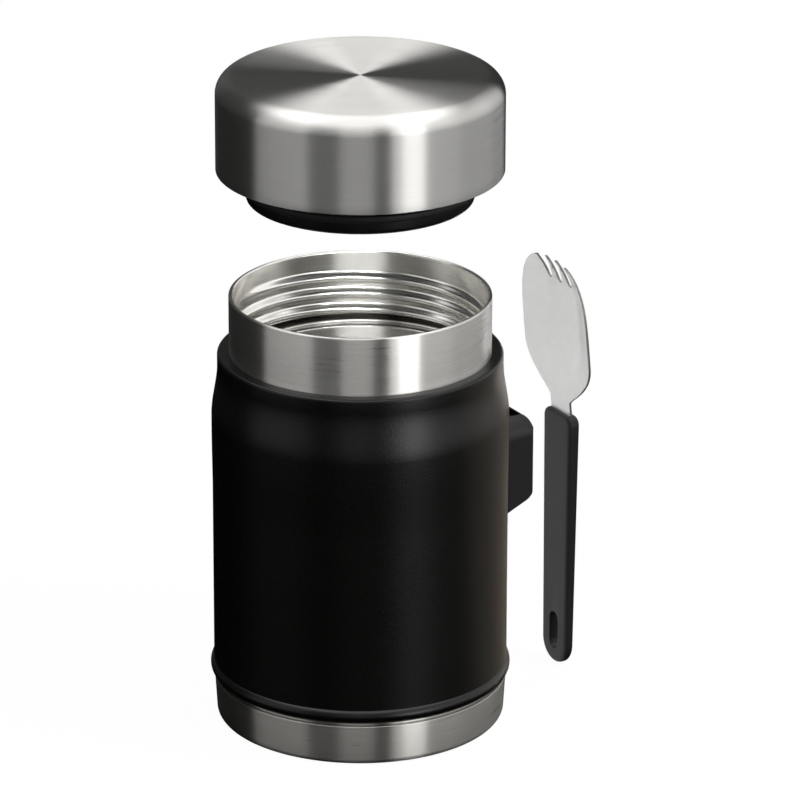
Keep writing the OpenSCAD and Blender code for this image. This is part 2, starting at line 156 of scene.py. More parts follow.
# surface of revolution: x = (r + out) cos a and y = (r + out) sin a, where out(a, r, z) is what stands out
# from the round shape, such as a thread
def revolve(name, profile, columns, out=None, **rest):
    a = np.linspace(0, 2 * np.pi, columns, endpoint=False)[None, :]
    r, z = profile[:, 0][:, None] + 0 * a, profile[:, 1][:, None] + 0 * a
    if out is not None:
        r = r + out(np.degrees(a), r, z)
    return gridPiece(name, np.stack([r * np.cos(a), r * np.sin(a), z], -1), **rest)


# adds one node, sets its sockets to values or links, and sets its own settings
def addNode(tree, kind, sockets=None, **settings):
    node = tree.nodes.new(kind)
    for key, value in settings.items():
        setattr(node, key, value)
    for key, value in (sockets or {}).items():
        if isinstance(value, bpy.types.NodeSocket):
            tree.links.new(value, node.inputs[key])
        else:
            node.inputs[key].default_value = value
    return node


# sRGB hex to linear: c / 12.92 up to 0.04045, and ((c + 0.055) / 1.055) ^ 2.4 over it
def tone(text):
    c = np.array([int(text[k:k + 2], 16) for k in (1, 3, 5)]) / 255
    return (*np.where(c <= 0.04045, c / 12.92, ((c + 0.055) / 1.055) ** 2.4), 1)


# camera

cameraPlace = (-877.8, -1520.4, 771.4)  # mm
cameraTurn = (90 - 20.79, 0, -30)  # degrees
cameraData = bpy.data.cameras.new("camera")
cameraData.sensor_width = 36
cameraData.lens = 269.7
cameraData.shift_x = 0.0496
cameraData.clip_end = 50
cameraObject = bpy.data.objects.new("camera", cameraData)
cameraObject.location = np.array(cameraPlace) * mm
cameraObject.rotation_euler = np.radians(cameraTurn)
scene.collection.objects.link(cameraObject)
scene.camera = cameraObject
scene.view_settings.view_transform = "Standard"
print("camera placed")


# studio

studio = {
    "front": -120,  # degrees, the side of the object that the light is arranged for
    # cards round the object: each one's start, in degrees left (-) or right of the front, and brightness
    "cards": [(-180, 0.14), (-152, 0.07), (-89, 1.0), (-41, 0.12), (-16, 0.92), (11, 0.0),
              (25, 3.0), (33, 7.6), (51, 1.6), (85, 1.38), (125, 1.15), (150, 0.04)],
    "softEdge": 4,  # degrees over which a card fades in
    "cardFoot": (-0.35, 0.0),  # sine of the elevation at which the cards begin and are full
    "cardTop": (0.55, 0.72),  # and at which they begin and end to fade
    "lowCard": 9.0,  # the most that a card has at eye level, and from about fifteen degrees up
    "highCard": 1.7,
    "cardDrop": (0.0, 0.25),  # sines between which the one becomes the other
    "overhead": (0.61, 0.90),  # sines between which the light over the cards comes in
    "overheadStrength": 4.4,
    "zenith": (0.88, 1.00),  # and between which it loses the drop again, straight overhead
    "zenithDrop": 2.9,
    "fill": 0.7,  # brightness all round for matt surfaces
    "keyWatts": 8,
    "floorHalf": 30,  # metres from the floor's middle to its sides
    "floorPaint": "#b4b4b4",  # the floor as the object sees it
    "floorShade": 0.05,  # share of the floor's white that a shadow can take
}


# light for what shines: cards of even brightness side by side, faded out upwards, and a soft overhead
# light. Matt surfaces get an even fill instead, and the camera sees plain white.
def makeWorld():
    world = bpy.data.worlds.new("studio")
    scene.world = world
    world.use_nodes = True
    world.cycles.sampling_method = "NONE"
    tree = world.node_tree
    tree.nodes.clear()
    place = addNode(tree, "ShaderNodeTexCoord")
    turned = addNode(tree, "ShaderNodeVectorRotate", {
        "Vector": place.outputs["Generated"],
        "Angle": math.radians(-studio["front"])}, rotation_type="Z_AXIS")
    x, y, up = addNode(tree, "ShaderNodeSeparateXYZ", {0: turned.outputs[0]}).outputs
    azimuth = addNode(tree, "ShaderNodeMath", {0: y, 1: x}, operation="ARCTAN2")
    share = addNode(tree, "ShaderNodeMapRange", {
        "Value": azimuth.outputs[0], "From Min": -math.pi, "From Max": math.pi})
    ramp = addNode(tree, "ShaderNodeValToRGB", {"Fac": share.outputs[0]})
    fade = studio["softEdge"] / 2
    starts, brights = zip(*studio["cards"])
    elements = ramp.color_ramp.elements
    elements.remove(elements[1])
    elements[0].color = (brights[0], brights[0], brights[0], 1)
    for start, end, bright in zip(starts, (*starts[1:], 180), brights):
        for angle in (start + fade, end - fade):
            elements.new((angle + 180) / 360).color = (bright, bright, bright, 1)
    heights = (studio["cardFoot"], studio["cardTop"][::-1], studio["overhead"], studio["zenith"])
    foot, top, overhead, zenith = (addNode(tree, "ShaderNodeMapRange", {
        "Value": up, "From Min": start, "From Max": end}, interpolation_type="SMOOTHSTEP").outputs[0]
        for start, end in heights)
    height = addNode(tree, "ShaderNodeMath", {0: foot, 1: top}, operation="MULTIPLY")
    most = addNode(tree, "ShaderNodeMapRange", {
        "Value": up, "From Min": studio["cardDrop"][0], "From Max": studio["cardDrop"][1],
        "To Min": studio["lowCard"], "To Max": studio["highCard"]})
    held = addNode(tree, "ShaderNodeMath", {0: ramp.outputs[0], 1: most.outputs[0]}, operation="MINIMUM")
    light = addNode(tree, "ShaderNodeMath", {
        0: held.outputs[0], 1: height.outputs[0]}, operation="MULTIPLY")
    for part, strength in ((overhead, studio["overheadStrength"]), (zenith, -studio["zenithDrop"])):
        light = addNode(tree, "ShaderNodeMath", {
            0: part, 1: strength, 2: light.outputs[0]}, operation="MULTIPLY_ADD")
    path = addNode(tree, "ShaderNodeLightPath")
    matt = addNode(tree, "ShaderNodeMix", {
        "Factor": path.outputs["Is Glossy Ray"], "A": studio["fill"], "B": light.outputs[0]})
    seen = addNode(tree, "ShaderNodeMix", {
        "Factor": path.outputs["Is Camera Ray"], "A": matt.outputs[0], "B": 1.0})
    sky = addNode(tree, "ShaderNodeBackground", {"Strength": seen.outputs[0]})
    addNode(tree, "ShaderNodeOutputWorld", {"Surface": sky.outputs[0]})


# a soft lamp at a place, aimed at a point on the object, both in millimetres, square or of another height.
# A list of pieces makes it light and shine in those alone, with only them or the blockers in its way.
def makeLamp(name, place, target, size, watts, tall=None, colour="#ffffff", pieces=None, blockers=None):
    data = bpy.data.lights.new(name, "AREA")
    data.shape = "RECTANGLE"
    data.size, data.size_y = size * mm, (tall or size) * mm
    data.energy = watts
    data.color = tone(colour)[:3]
    lamp = bpy.data.objects.new(name, data)
    x, y, z = np.array(target, float) - np.array(place, float)
    lamp.location = np.array(place) * mm
    lamp.rotation_euler = (math.atan2(math.hypot(x, y), -z), 0, math.atan2(y, x) - math.pi / 2)
    lamp.visible_glossy = pieces is not None
    lamp.visible_camera = False
    if pieces is not None:
        data.cycles.use_multiple_importance_sampling = False
        lit, block = bpy.data.collections.new(name), bpy.data.collections.new(name + "Block")
        for group, members in ((lit, pieces), (block, blockers or pieces)):
            for piece in members:
                group.objects.link(piece)
        lamp.light_linking.receiver_collection = lit
        lamp.light_linking.blocker_collection = block
    scene.collection.objects.link(lamp)


# white floor that keeps a faint shadow: most of what the camera sees of it is even light
def makeFloor():
    half = studio["floorHalf"]
    corners = [(-half, -half, 0), (half, -half, 0), (half, half, 0), (-half, half, 0)]
    mesh = bpy.data.meshes.new("floor")
    mesh.from_pydata(corners, [], [(0, 1, 2, 3)])
    floor = bpy.data.objects.new("floor", mesh)
    floor.visible_glossy = False
    scene.collection.objects.link(floor)
    material = bpy.data.materials.new("floorPaint")
    material.use_nodes = True
    tree = material.node_tree
    tree.nodes.clear()
    path = addNode(tree, "ShaderNodeLightPath")
    shade = studio["floorShade"]
    paint = addNode(tree, "ShaderNodeBsdfDiffuse", {"Color": (shade, shade, shade, 1)})
    glow = addNode(tree, "ShaderNodeEmission", {"Strength": 1 - shade * studio["fill"]})
    both = addNode(tree, "ShaderNodeAddShader", {0: paint.outputs[0], 1: glow.outputs[0]})
    pale = addNode(tree, "ShaderNodeBsdfDiffuse", {"Color": tone(studio["floorPaint"])})
    seen = addNode(tree, "ShaderNodeMixShader", {
        0: path.outputs["Is Camera Ray"], 1: pale.outputs[0], 2: both.outputs[0]})
    addNode(tree, "ShaderNodeOutputMaterial", {"Surface": seen.outputs[0]})
    mesh.materials.append(material)


makeWorld()
makeFloor()
makeLamp("key", (700, -900, 1100), (0, 0, 110), 500, studio["keyWatts"])
print("studio lit")


# materials

# an empty material with a Principled shader, whose sockets are the settings
def newMaterial(name, sockets):
    material = bpy.data.materials.new(name)
    material.use_nodes = True
    tree = material.node_tree
    tree.nodes.clear()
    shader = addNode(tree, "ShaderNodeBsdfPrincipled", sockets)
    addNode(tree, "ShaderNodeOutputMaterial", {"Surface": shader.outputs[0]})
    place = addNode(tree, "ShaderNodeTexCoord")
    return material, tree, shader, place.outputs["Object"]


# two hex colours mixed by a pattern, linked to the shader
def mixColour(tree, shader, pattern, dark, light):
    colour = addNode(tree, "ShaderNodeMix", {
        "Factor": pattern, 6: tone(dark), 7: tone(light)}, data_type="RGBA")
    tree.links.new(colour.outputs[2], shader.inputs["Base Color"])


# roughness that wanders by spread either way with a pattern, most of which lies between 0.3 and 0.7
def varyRoughness(tree, shader, pattern, roughness, spread=0.04):
    wander = addNode(tree, "ShaderNodeMapRange", {
        "Value": pattern, "From Min": 0.3, "From Max": 0.7,
        "To Min": roughness - spread, "To Max": roughness + spread})
    tree.links.new(wander.outputs[0], shader.inputs["Roughness"])


# a pattern pressed into the surface, to a depth in millimetres
def pressIn(tree, shader, pattern, depth, strength=0.5):
    bump = addNode(tree, "ShaderNodeBump", {
        "Height": pattern, "Strength": strength, "Distance": depth * mm})
    tree.links.new(bump.outputs[0], shader.inputs["Normal"])


# stainless steel, brushed round the axis with abrasive: grooves too fine to see one by one draw each
# reflection out across themselves. Real ones are 0.05 mm apart, and the drawn ones are wider, so they show.
def brushedSteel(name, dark, light, roughness=0.34, anisotropic=1.0, grooveGap=0.3, grooveDepth=0.0015):
    material, tree, shader, place = newMaterial(name, {
        "Metallic": 1.0, "Anisotropic": anisotropic, "Anisotropic Rotation": 0.25})
    uvMap = addNode(tree, "ShaderNodeUVMap", uv_map="UVMap")
    axes = addNode(tree, "ShaderNodeSeparateXYZ", {0: place})
    grid = addNode(tree, "ShaderNodeSeparateXYZ", {0: uvMap.outputs[0]})
    streak = 22  # mm, how long a groove looks
    sizes = ((axes.outputs[0], streak), (axes.outputs[1], streak), (grid.outputs[1], grooveGap))
    x, y, v = (addNode(tree, "ShaderNodeMath", {
        0: source, 1: 1 / (size * mm)}, operation="MULTIPLY").outputs[0] for source, size in sizes)
    line = addNode(tree, "ShaderNodeCombineXYZ", {0: x, 1: y, 2: v})
    grooves = addNode(tree, "ShaderNodeTexNoise", {
        "Vector": line.outputs[0], "Scale": 1.0, "Detail": 4.0, "Roughness": 0.65}).outputs[0]
    mixColour(tree, shader, grooves, dark, light)
    varyRoughness(tree, shader, grooves, roughness)
    pressIn(tree, shader, grooves, grooveDepth)
    tangent = addNode(tree, "ShaderNodeTangent", direction_type="UV_MAP", uv_map="UVMap")
    tree.links.new(tangent.outputs[0], shader.inputs["Tangent"])
    return material


# plastic, paint, foam or rubber with a grain, in millimetres, that darkens, roughens and dents it a little,
# and with wide faint clouds in its colour
def grainy(name, dark, light, roughness, grain, depth, ior=1.5, spread=0.04, cloud=25):
    material, tree, shader, place = newMaterial(name, {"IOR": ior})
    grains = addNode(tree, "ShaderNodeTexNoise", {
        "Vector": place, "Scale": 1 / (grain * mm), "Detail": 3.0, "Roughness": 0.6}).outputs[0]
    clouds = addNode(tree, "ShaderNodeTexNoise", {
        "Vector": place, "Scale": 1 / (cloud * mm), "Detail": 3.0}).outputs[0]
    both = addNode(tree, "ShaderNodeMix", {"Factor": 0.4, "A": grains, "B": clouds}).outputs[0]
    mixColour(tree, shader, both, dark, light)
    varyRoughness(tree, shader, both, roughness, spread)
    pressIn(tree, shader, grains, depth)
    return material


# metal with one even reflection, slightly cloudy
def satinMetal(name, dark, light, roughness=0.4, cloud=4.0, depth=0.008):
    material, tree, shader, place = newMaterial(name, {"Metallic": 1.0, "Roughness": roughness})
    clouds = addNode(tree, "ShaderNodeTexNoise", {
        "Vector": place, "Scale": 1 / (cloud * mm), "Detail": 6.0, "Roughness": 0.7}).outputs[0]
    mixColour(tree, shader, clouds, dark, light)
    pressIn(tree, shader, clouds, depth, 0.3)
    return material


# paints shade into a material's colour: mixes it towards a darker one between two heights in millimetres,
# with soft ends
def paintShadeBetween(material, low, high, soft, colour):
    tree = material.node_tree
    shader = tree.nodes["Principled BSDF"]
    old = shader.inputs["Base Color"].links[0].from_socket
    place = addNode(tree, "ShaderNodeTexCoord")
    height = addNode(tree, "ShaderNodeSeparateXYZ", {0: place.outputs["Object"]}).outputs[2]
    up, down = (addNode(tree, "ShaderNodeMapRange", {
        "Value": height, "From Min": a * mm, "From Max": b * mm}, interpolation_type="SMOOTHSTEP").outputs[0]
        for a, b in ((low, low + soft), (high, high - soft)))
    share = addNode(tree, "ShaderNodeMath", {0: up, 1: down}, operation="MULTIPLY").outputs[0]
    both = addNode(tree, "ShaderNodeMix", {"Factor": share, 6: old, 7: tone(colour)}, data_type="RGBA")
    tree.links.new(both.outputs[2], shader.inputs["Base Color"])


# coarse brushing on the lid, finer on the neck and the band: streaks of light across the grooves. The three
# are one steel: the band's colour is painted darker as shade, and the neck's lighter as painted reflection
lidSteel = brushedSteel("brushedStainlessLid", "#c6c5c2", "#d8d7d4")
neckSteel = brushedSteel("brushedStainlessNeck", "#d9d7d3", "#e8e6e2", roughness=0.3, grooveDepth=0.0004)
bandSteel = brushedSteel("brushedStainlessBand", "#bdbbb6", "#d0cec9", roughness=0.31, grooveDepth=0.0008)
# turned and polished inside: nearly a mirror, with faint rings
linerSteel = brushedSteel("turnedStainlessLiner", "#e4e3df", "#f0efeb", roughness=0.22, anisotropic=0.35,
                          grooveGap=0.45)
# polyester powder baked on steel: matt, with grains that catch the light. Real ones are about 0.1 mm wide,
# and the drawn ones are wider, so they show.
shellCoat = grainy("powderCoatBlack", "#040403", "#0a0a09", roughness=0.29, grain=0.45, depth=0.1,
                   ior=1.38, spread=0.015)
# polypropylene and nylon moulded against a spark-eroded tool: dull, with a fine even grain
sleevePlastic = grainy("mouldedPolypropyleneBlack", "#0c0c0c", "#131313", roughness=0.42, grain=0.5,
                       depth=0.012, ior=1.4)
handlePlastic = grainy("mouldedNylonGrey", "#131315", "#19191b", roughness=0.42, grain=0.5, depth=0.012,
                       ior=1.33)
# polypropylene moulded against a polished tool: clear highlights
stopperPlastic = grainy("polishedPolypropyleneBlack", "#0a0a0b", "#101011", roughness=0.3, grain=0.9,
                        depth=0.002)
# silicone rubber, moulded: soft and matt
gasketRubber = grainy("mouldedSiliconeDark", "#0e0e0e", "#171717", roughness=0.55, grain=0.5, depth=0.01,
                      ior=1.41)
# steel tumbled and blasted: a soft pale sheen. Where the blank was sheared the edge is rougher, and its
# colour is painted darker as shade
sporkSteel = satinMetal("satinStainlessSpork", "#d2d2d0", "#e0e0de", roughness=0.42)
shearedShadedSteel = satinMetal("shearedStainlessEdgeShaded", "#6c6c6a", "#838381", roughness=0.45)
# cold-rolled plate: plain and a little cloudy
plainSteel = satinMetal("rolledStainlessPlate", "#8e8e8b", "#a4a4a1")
# copper rolled thin and wrapped by hand: bright, with small creases
copperFoil = satinMetal("rolledCopperFoil", "#c88a66", "#dca27e", roughness=0.25, cloud=2.0, depth=0.05)
# powder pressed and sintered: dull and pitted
sinteredMetal = satinMetal("sinteredGetterMetal", "#5c5c5c", "#777777", roughness=0.7, cloud=0.4,
                           depth=0.05)
# polyurethane foamed in place: cream, dull, with small open cells
foamCream = grainy("rigidPolyurethaneFoam", "#d2c49f", "#ece0c2", roughness=0.9, grain=1.2, depth=0.3)
print("materials made")


# jar

neckBox, shellBox, cupBox, linerBox = (nodeBox(n) for n in ("neck_collar", "outer_shell", "base_cup",
                                                           "inner_liner"))
neckR, rimZ, lipZ = neckBox[1][0], neckBox[1][2], shellBox[1][2]
wall = 0.8  # sheet of the outer wall and of the base cup
sheet = 0.6  # sheet of the liner and of the neck
weld = 0.05  # gap between sheets that are joined
rimEdge = 0.55  # radius of the rim's rounded edge

shell = {
    "beadRound": 2.6,  # radius of the bead
    "beadOut": 1.1,  # how far it stands out from the wall
    "beadIn": 0.04,  # keeps the round bead within the faceted one
    "swell": 0.2,  # how far the wall swells under the flare
    "swellLow": 26,  # how far under the flare the swell starts, and is full
    "swellTop": 5,
    "flareOut": 1.7,
    "flareHeight": 16.3,
    "lipHeight": 4.6,
    "lipEdge": 1.0,
    "columns": 384,
}
beadX = shellBox[1][0] - shell["beadRound"] - shell["beadIn"]
beadZ = shellBox[0][2] + shell["beadRound"]
bodyR = shellBox[1][0] - shell["beadOut"]
lipR = bodyR - shell["flareOut"]


# the coated wall: round bead, straight wall that swells softly, flare in to the lip, and the flat lip
def shellProfile():
    s = shell
    flareTop = lipZ - s["lipHeight"]
    flareLow = flareTop - s["flareHeight"]
    swellLow, swellTop = flareLow - s["swellLow"], flareLow - s["swellTop"]
    wide = bodyR + s["swell"]
    outAngle = math.degrees(math.acos((bodyR - beadX) / s["beadRound"]))
    inAngle = math.degrees(math.acos((bodyR - wall - beadX) / (s["beadRound"] - wall)))
    return np.vstack([
        arcPoints(beadX, beadZ, s["beadRound"], -90, outAngle, 28),
        softStep(bodyR, swellLow, wide, swellTop, 12),
        softStep(wide, flareLow, lipR, flareTop),
        arcPoints(lipR - s["lipEdge"], lipZ - s["lipEdge"], s["lipEdge"], 0, 90, 8),
        [[neckR + weld, lipZ], [neckR + weld, lipZ - wall], [lipR - wall, lipZ - wall]],
        softStep(lipR - wall, flareTop, wide - wall, flareLow, 8),
        [[bodyR - wall, swellLow]],
        arcPoints(beadX, beadZ, s["beadRound"] - wall, inAngle, -90, 10)])


outerShell = revolve("outerShell", shellProfile(), shell["columns"], body="jar", node="outer_shell",
                     slot="coated_steel", material=shellCoat)
makeLamp("shellCard", (773, 207, -140), (0, 0, 70), 1500, 0.65, tall=500, colour="#ffedda",
         pieces=[outerShell])

band = {
    "height": 13.4,
    "taper": 0.8,  # how much smaller the foot's radius is than the top's
    "bottomRound": 2.2,
    "topEdge": 0.25,
    "ringInset": 11,  # pressed ring: from the foot's edge inwards, width, height and soft corners
    "ringWidth": 3,
    "ringHigh": 0.5,
    "ringRound": 0.3,
    "columns": 320,
}


# the base cup: floor with one pressed ring, round foot, tapered band, and the step up inside the bead
def cupProfile():
    b = band
    top = cupBox[1][0]
    foot = top - b["taper"]
    joggle = beadX - weld
    high, soft = b["ringHigh"], b["ringRound"]
    ring = foot - b["ringInset"]
    ringEnd = ring + b["ringWidth"] + high
    outside = [(0, 0), (ring, 0, soft), (ring + high, high, soft), (ringEnd - high, high, soft),
               (ringEnd, 0, soft), (foot, 0, b["bottomRound"]), (top, b["height"], b["topEdge"]),
               (joggle, b["height"]), (joggle, cupBox[1][2])]
    inside = [(joggle - wall, cupBox[1][2]), (joggle - wall, b["height"] - wall),
              (top - wall, b["height"] - wall), (foot - wall, wall, b["bottomRound"] - wall),
              (ringEnd, wall), (ringEnd - high, high + wall), (ring + high, high + wall), (ring, wall),
              (0, wall)]
    return roundedOutline(outside + inside, steps=10, closed=False)


revolve("baseCup", cupProfile(), band["columns"], body="jar", node="base_cup", slot="brushed_steel",
        material=bandSteel, loopRows=False)

collarColumns = 320
rimSeam = neckR - sheet - weld / 2  # radius at which the collar and the liner meet on the rim
collarProfile = np.vstack([
    [[neckR - sheet, neckBox[0][2]], [neckR, neckBox[0][2]]],
    arcPoints(neckR - rimEdge, rimZ - rimEdge, rimEdge, 0, 90, 8),
    [[rimSeam, rimZ], [rimSeam, rimZ - rimEdge], [neckR - sheet, rimZ - rimEdge - weld]]])
revolve("neckCollar", collarProfile, collarColumns, body="jar", node="neck_collar", slot="brushed_steel",
        material=neckSteel)

thread = {
    "pitch": 5.3,
    "rise": 1.6,  # how far the ridges stand out
    "start": 138,  # degrees, where the neck's ridge ends at the top
    "underRim": 7.6,  # how far under the rim it ends
    "neckTurns": 2.5,
    "lidTurns": 1.75,
    "overShoulder": 1.5,  # how far over the stopper's shoulder its ridge starts
    "neckHalfWidth": 2.3,
    "lidHalfWidth": 1.7,
    "fade": 0.13,  # share of a turn over which a ridge comes in
}
threadTop = rimZ - thread["underRim"]


# 1 on the helix z = threadTop + offset + pitch * turns and 0 at halfWidth from it, as a squared cosine, and
# eased in and out over the first and last part of a turn
def ridgeHeight(angle, z, low, high, halfWidth, offset=0):
    pitch = thread["pitch"]
    fade = pitch * thread["fade"]
    total = np.zeros_like(z)
    for k in range(-4, 16):
        line = threadTop + offset + pitch * ((angle - thread["start"]) / 360 + k)
        across = np.cos(np.clip((z - line) / halfWidth, -1, 1) * np.pi / 2) ** 2
        total = np.maximum(total, across * ease((line - low) / fade) * ease((high - line) / fade))
    return total


liner = {
    "ledgeDepth": 23.8,  # from the rim down to the sealing ledge
    "ledgeRound": 0.4,  # radius of its edge, and of the corner at its foot
    "ledgeFoot": 0.5,
    "throatHeight": 5.2,
    "throatR": 36.0,
    "shoulder": 9,  # height over which the throat widens to the chamber
    "chamberR": 41.0,
    "floorRound": 12,
    "floorStep": 6,  # mm between rows on the floor, the ledge and the thread
    "ledgeStep": 0.8,
    "threadStep": 0.26,
    "columns": 400,
    # painted shade: the corner over the ledge, under the lowest ridge, is painted darker between these
    # heights, where shade falls
    "paintedShadeFrom": 0.3,
    "paintedShadeTo": 3.3,
    "paintedShadeSoft": 0.6,
    "dark": "#2c2b29",
}
neckInR = neckR - 2 * sheet - weld
ledgeZ = rimZ - liner["ledgeDepth"]
floorZ = linerBox[0][2] + sheet


# the food vessel, from the middle of its floor up its inside, over the rim and down its outside
def linerProfile():
    n = liner
    throatZ = ledgeZ - n["throatHeight"]
    wallTop = throatZ - n["shoulder"]
    edge, corner, foot = n["ledgeRound"], n["floorRound"], n["ledgeFoot"]
    inside = [
        refine([[0, floorZ], [n["chamberR"] - corner, floorZ]], n["floorStep"])[:-1],
        arcPoints(n["chamberR"] - corner, floorZ + corner, corner, -90, 0, 14),
        softStep(n["chamberR"], wallTop, n["throatR"], throatZ, 14),
        arcPoints(n["throatR"] + edge, ledgeZ - edge, edge, 180, 90, 4),
        refine([[n["throatR"] + edge, ledgeZ], [neckInR - foot, ledgeZ]], n["ledgeStep"])[1:-1],
        arcPoints(neckInR - foot, ledgeZ + foot, foot, -90, 0, 4),
        refine([[neckInR, ledgeZ + foot], [neckInR, rimZ - rimEdge]], n["threadStep"])[1:-1],
        arcPoints(neckInR + rimEdge, rimZ - rimEdge, rimEdge, 180, 90, 6)]
    outside = [
        [[rimSeam, rimZ], [rimSeam, rimZ - rimEdge], [neckInR + sheet, rimZ - rimEdge - weld]],
        [[neckInR + sheet, ledgeZ - sheet], [n["throatR"] + sheet, ledgeZ - sheet]],
        softStep(n["throatR"] + sheet, throatZ, n["chamberR"] + sheet, wallTop, 8),
        arcPoints(n["chamberR"] - corner, floorZ + corner, corner + sheet, 0, -90, 8),
        [[0, floorZ - sheet]]]
    return np.vstack(inside + outside)


# the rolled thread stands inwards from the neck's inner wall
def neckRidge(angle, r, z):
    t = thread
    high = ridgeHeight(angle, z, threadTop - t["neckTurns"] * t["pitch"], threadTop, t["neckHalfWidth"])
    return -t["rise"] * high * (np.abs(r - neckInR) < onWall) * (z > ledgeZ)


# painted shade in the liner's colour, in the corner over the ledge
paintShadeBetween(linerSteel, ledgeZ + liner["paintedShadeFrom"], ledgeZ + liner["paintedShadeTo"], liner["paintedShadeSoft"],
              liner["dark"])
innerLiner = revolve("innerLiner", linerProfile(), liner["columns"], neckRidge, body="jar",
                     node="inner_liner", slot="liner_steel", material=linerSteel, loopRows=False)
makeLamp("neckCard", (-190, -540, 500), (0, 0, 130), 600, 4.5, pieces=[innerLiner])
print("jar made")


# lid

capBox, stopperBox, gasketBox = (nodeBox(n) for n in ("lid_cap", "lid_stopper", "lid_gasket"))
cap = {
    "topRound": 5.8,
    "sheet": 0.7,
    "edge": 0.3,
    "middle": 0.5,  # radius of the first ring of points on the top
    "topStep": 2,  # mm between rows on the top and the skirt
    "skirtStep": 3,
    "columns": 400,
}
capR, capLow, capTop = capBox[1][0], capBox[0][2], capBox[1][2]


# the cap, from the middle of its top over the large round edge, down the skirt and back up inside
def capProfile():
    c = cap
    x, z = capR - c["topRound"], capTop - c["topRound"]
    return np.vstack([
        refine([[0, capTop], [c["middle"], capTop], [x, capTop]], c["topStep"])[:-1],
        arcPoints(x, z, c["topRound"], 90, 0, 24),
        refine([[capR, z], [capR, capLow + c["edge"]]], c["skirtStep"])[1:-1],
        arcPoints(capR - c["edge"], capLow + c["edge"], c["edge"], 0, -90, 5),
        [[capR - c["sheet"], capLow]],
        arcPoints(x, z, c["topRound"] - c["sheet"], 0, 90, 10),
        [[0, capTop - c["sheet"]]]])


revolve("lidCap", capProfile(), cap["columns"], body="lid", node="lid_cap", slot="brushed_steel",
        material=lidSteel, loopRows=False)

gasket = {
    "gap": 0.1,  # to the plug and to the shoulder
    "inRound": 0.3,
    "outRound": 0.8,
    "columns": 320,
}
stopper = {
    "plugR": 35.5,
    "plugSheet": 2.0,
    "plugEdge": 1.5,
    "dishDeep": 0.6,  # dish in the plug's underside: depth, radii of floor and mouth, soft corners
    "dishFloor": 25,
    "dishMouth": 28,
    "dishRound": 1,
    "stemSheet": 2.2,
    "ringSheet": 1.6,  # ring that fills the cap's skirt, and how far its foot is over the cap's
    "ringUp": 1.4,
    "webOverRim": 1.0,  # web that stops over the rim when the lid is closed
    "webSheet": 1.8,
    "seatGap": 0.4,  # left between the closed cap and the lip
    "threadGap": 0.5,
    "threadStep": 0.3,  # mm between rows on the thread
    "edge": 0.3,
    "columns": 300,
}
lift = capLow - lipZ - stopper["seatGap"]  # how far the lid is held over its closed place
stemR = neckInR - thread["rise"] - stopper["threadGap"]
shoulderZ = gasketBox[1][2] + gasket["gap"]
plugLow, stopperTop = stopperBox[0][2], stopperBox[1][2]


# the stopper, from the middle of the plug's underside: dish, plug, shoulder over the gasket, stem, web over
# the rim, ring in the cap, top edge, and back down inside
def stopperProfile():
    s = stopper
    edge = s["edge"]
    web = rimZ + lift + s["webOverRim"]
    ringOut = stopperBox[1][0]
    ringIn = ringOut - s["ringSheet"]
    ringLow, ringHigh = capLow + s["ringUp"], capTop - cap["topRound"]
    plugIn, stemIn = s["plugR"] - s["plugSheet"], stemR - s["stemSheet"]
    dish = plugLow + s["dishDeep"]
    under = roundedOutline([(0, dish), (s["dishFloor"], dish, s["dishRound"]),
                            (s["dishMouth"], plugLow, s["dishRound"]),
                            (s["plugR"], plugLow, s["plugEdge"]), (s["plugR"], shoulderZ),
                            (stemR, shoulderZ, edge), (stemR, web)], steps=6, closed=False)[:-1]
    stem = refine([[stemR, shoulderZ + edge], [stemR, web - edge]], s["threadStep"])[1:]
    over = roundedOutline([(stemR, web - edge), (stemR, web), (ringIn, web), (ringIn, ringLow, edge),
                           (ringOut, ringLow, edge), (ringOut, ringHigh), (ringIn, ringHigh),
                           (ringIn, web + s["webSheet"]), (stemR, web + s["webSheet"]),
                           (stemR, stopperTop), (stemIn, stopperTop), (stemIn, shoulderZ + s["plugSheet"]),
                           (plugIn, shoulderZ + s["plugSheet"]), (plugIn, plugLow + s["plugSheet"]),
                           (0, plugLow + s["plugSheet"])], steps=4, closed=False)[1:]
    return np.vstack([under, stem, over])


# the lid's ridge lies half a pitch under the neck's, so that the two run past each other
def lidRidge(angle, r, z):
    t = thread
    low = shoulderZ + t["overShoulder"]
    top = low + t["lidTurns"] * t["pitch"]
    high = ridgeHeight(angle, z, low, top, t["lidHalfWidth"], -t["pitch"] / 2)
    return t["rise"] * high * (np.abs(r - stemR) < onWall) * (z < rimZ + lift)


revolve("lidStopper", stopperProfile(), stopper["columns"], lidRidge, body="lid", node="lid_stopper",
        slot="gloss_black", material=stopperPlastic, loopRows=False)

gasketIn, gasketOut = stopper["plugR"] + gasket["gap"], gasketBox[1][0]
gasketLow, gasketTop = gasketBox[0][2], gasketBox[1][2]
gasketOutline = roundedOutline([
    (gasketIn, gasketLow, gasket["inRound"]), (gasketOut, gasketLow, gasket["outRound"]),
    (gasketOut, gasketTop, gasket["outRound"]), (gasketIn, gasketTop, gasket["inRound"])], steps=6)
lidGasket = revolve("lidGasket", gasketOutline, gasket["columns"], body="lid_seal", node="lid_gasket",
                    slot="silicone", material=gasketRubber)
makeLamp("neckLowCard", (-270, -468, -80), (0, 0, 125), 480, 0.45, pieces=[innerLiner],
         blockers=[lidGasket])
print("lid made")


# sleeve on the jar's side

